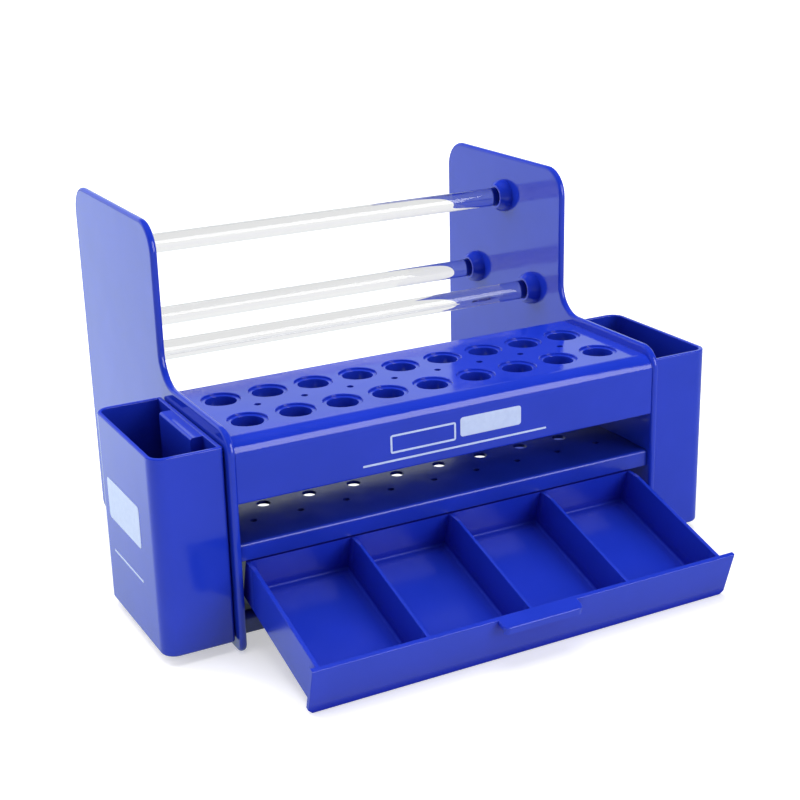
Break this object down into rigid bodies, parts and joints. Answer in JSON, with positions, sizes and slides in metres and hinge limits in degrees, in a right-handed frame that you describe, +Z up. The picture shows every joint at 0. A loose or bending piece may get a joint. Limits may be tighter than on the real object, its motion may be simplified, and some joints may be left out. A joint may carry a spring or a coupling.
{
  "type": "hobby workstation organizer",
  "caption": "Desktop tool organizer with stepped side panels, clear rods, a holed tool deck, shelves, a divided drawer and hang-on side bins.",
  "frame": {"origin": "bottom centre of the overall box, on the surface the organizer stands on, with the drawer pulled out and both bins hung on", "axes": "+X to the user's right along the width, +Y towards the back, +Z up"},
  "size_m": [0.25, 0.2319, 0.153],
  "materials": {
    "blue_plastic": "moulded gloss",
    "clear_rod": "clear polished acrylic",
    "screw_steel": "zinc plated"
  },
  "bodies": {
    "cabinet": {"side_panel_left": "blue_plastic", "side_panel_right": "blue_plastic", "tool_deck": "blue_plastic", "mid_shelf": "blue_plastic", "bottom_shelf": "blue_plastic", "deck_screws_left": "screw_steel", "deck_screws_right": "screw_steel", "base_screws_left": "screw_steel", "base_screws_right": "screw_steel"},
    "drawer": {"drawer": "blue_plastic"},
    "bin_left": {"bin_left": "blue_plastic"},
    "bin_right": {"bin_right": "blue_plastic"},
    "rod_top": {"rod_top": "clear_rod"},
    "rod_rear": {"rod_rear": "clear_rod"},
    "rod_front": {"rod_front": "clear_rod"}
  },
  "joints": [
    {"name": "drawer_travel", "type": "hinge", "parent": "cabinet", "child": "drawer", "pos_m": [0, -0.02581, -0.17574], "axis": [-1, 0, 0], "range_deg": [0, 16.2]},
    {"name": "bin_left_lift", "type": "slide", "parent": "cabinet", "child": "bin_left", "axis": [0, 0, 1], "range_m": [0, 0.08]},
    {"name": "bin_right_lift", "type": "slide", "parent": "cabinet", "child": "bin_right", "axis": [0, 0, 1], "range_m": [0, 0.08]},
    {"name": "rod_top_spin", "type": "hinge", "parent": "cabinet", "child": "rod_top", "pos_m": [0, 0.06355, 0.1341], "axis": [1, 0, 0], "continuous": true},
    {"name": "rod_rear_spin", "type": "hinge", "parent": "cabinet", "child": "rod_rear", "pos_m": [0, 0.08875, 0.0948], "axis": [1, 0, 0], "continuous": true},
    {"name": "rod_front_spin", "type": "hinge", "parent": "cabinet", "child": "rod_front", "pos_m": [0, 0.03955, 0.0948], "axis": [1, 0, 0], "continuous": true}
  ]
}
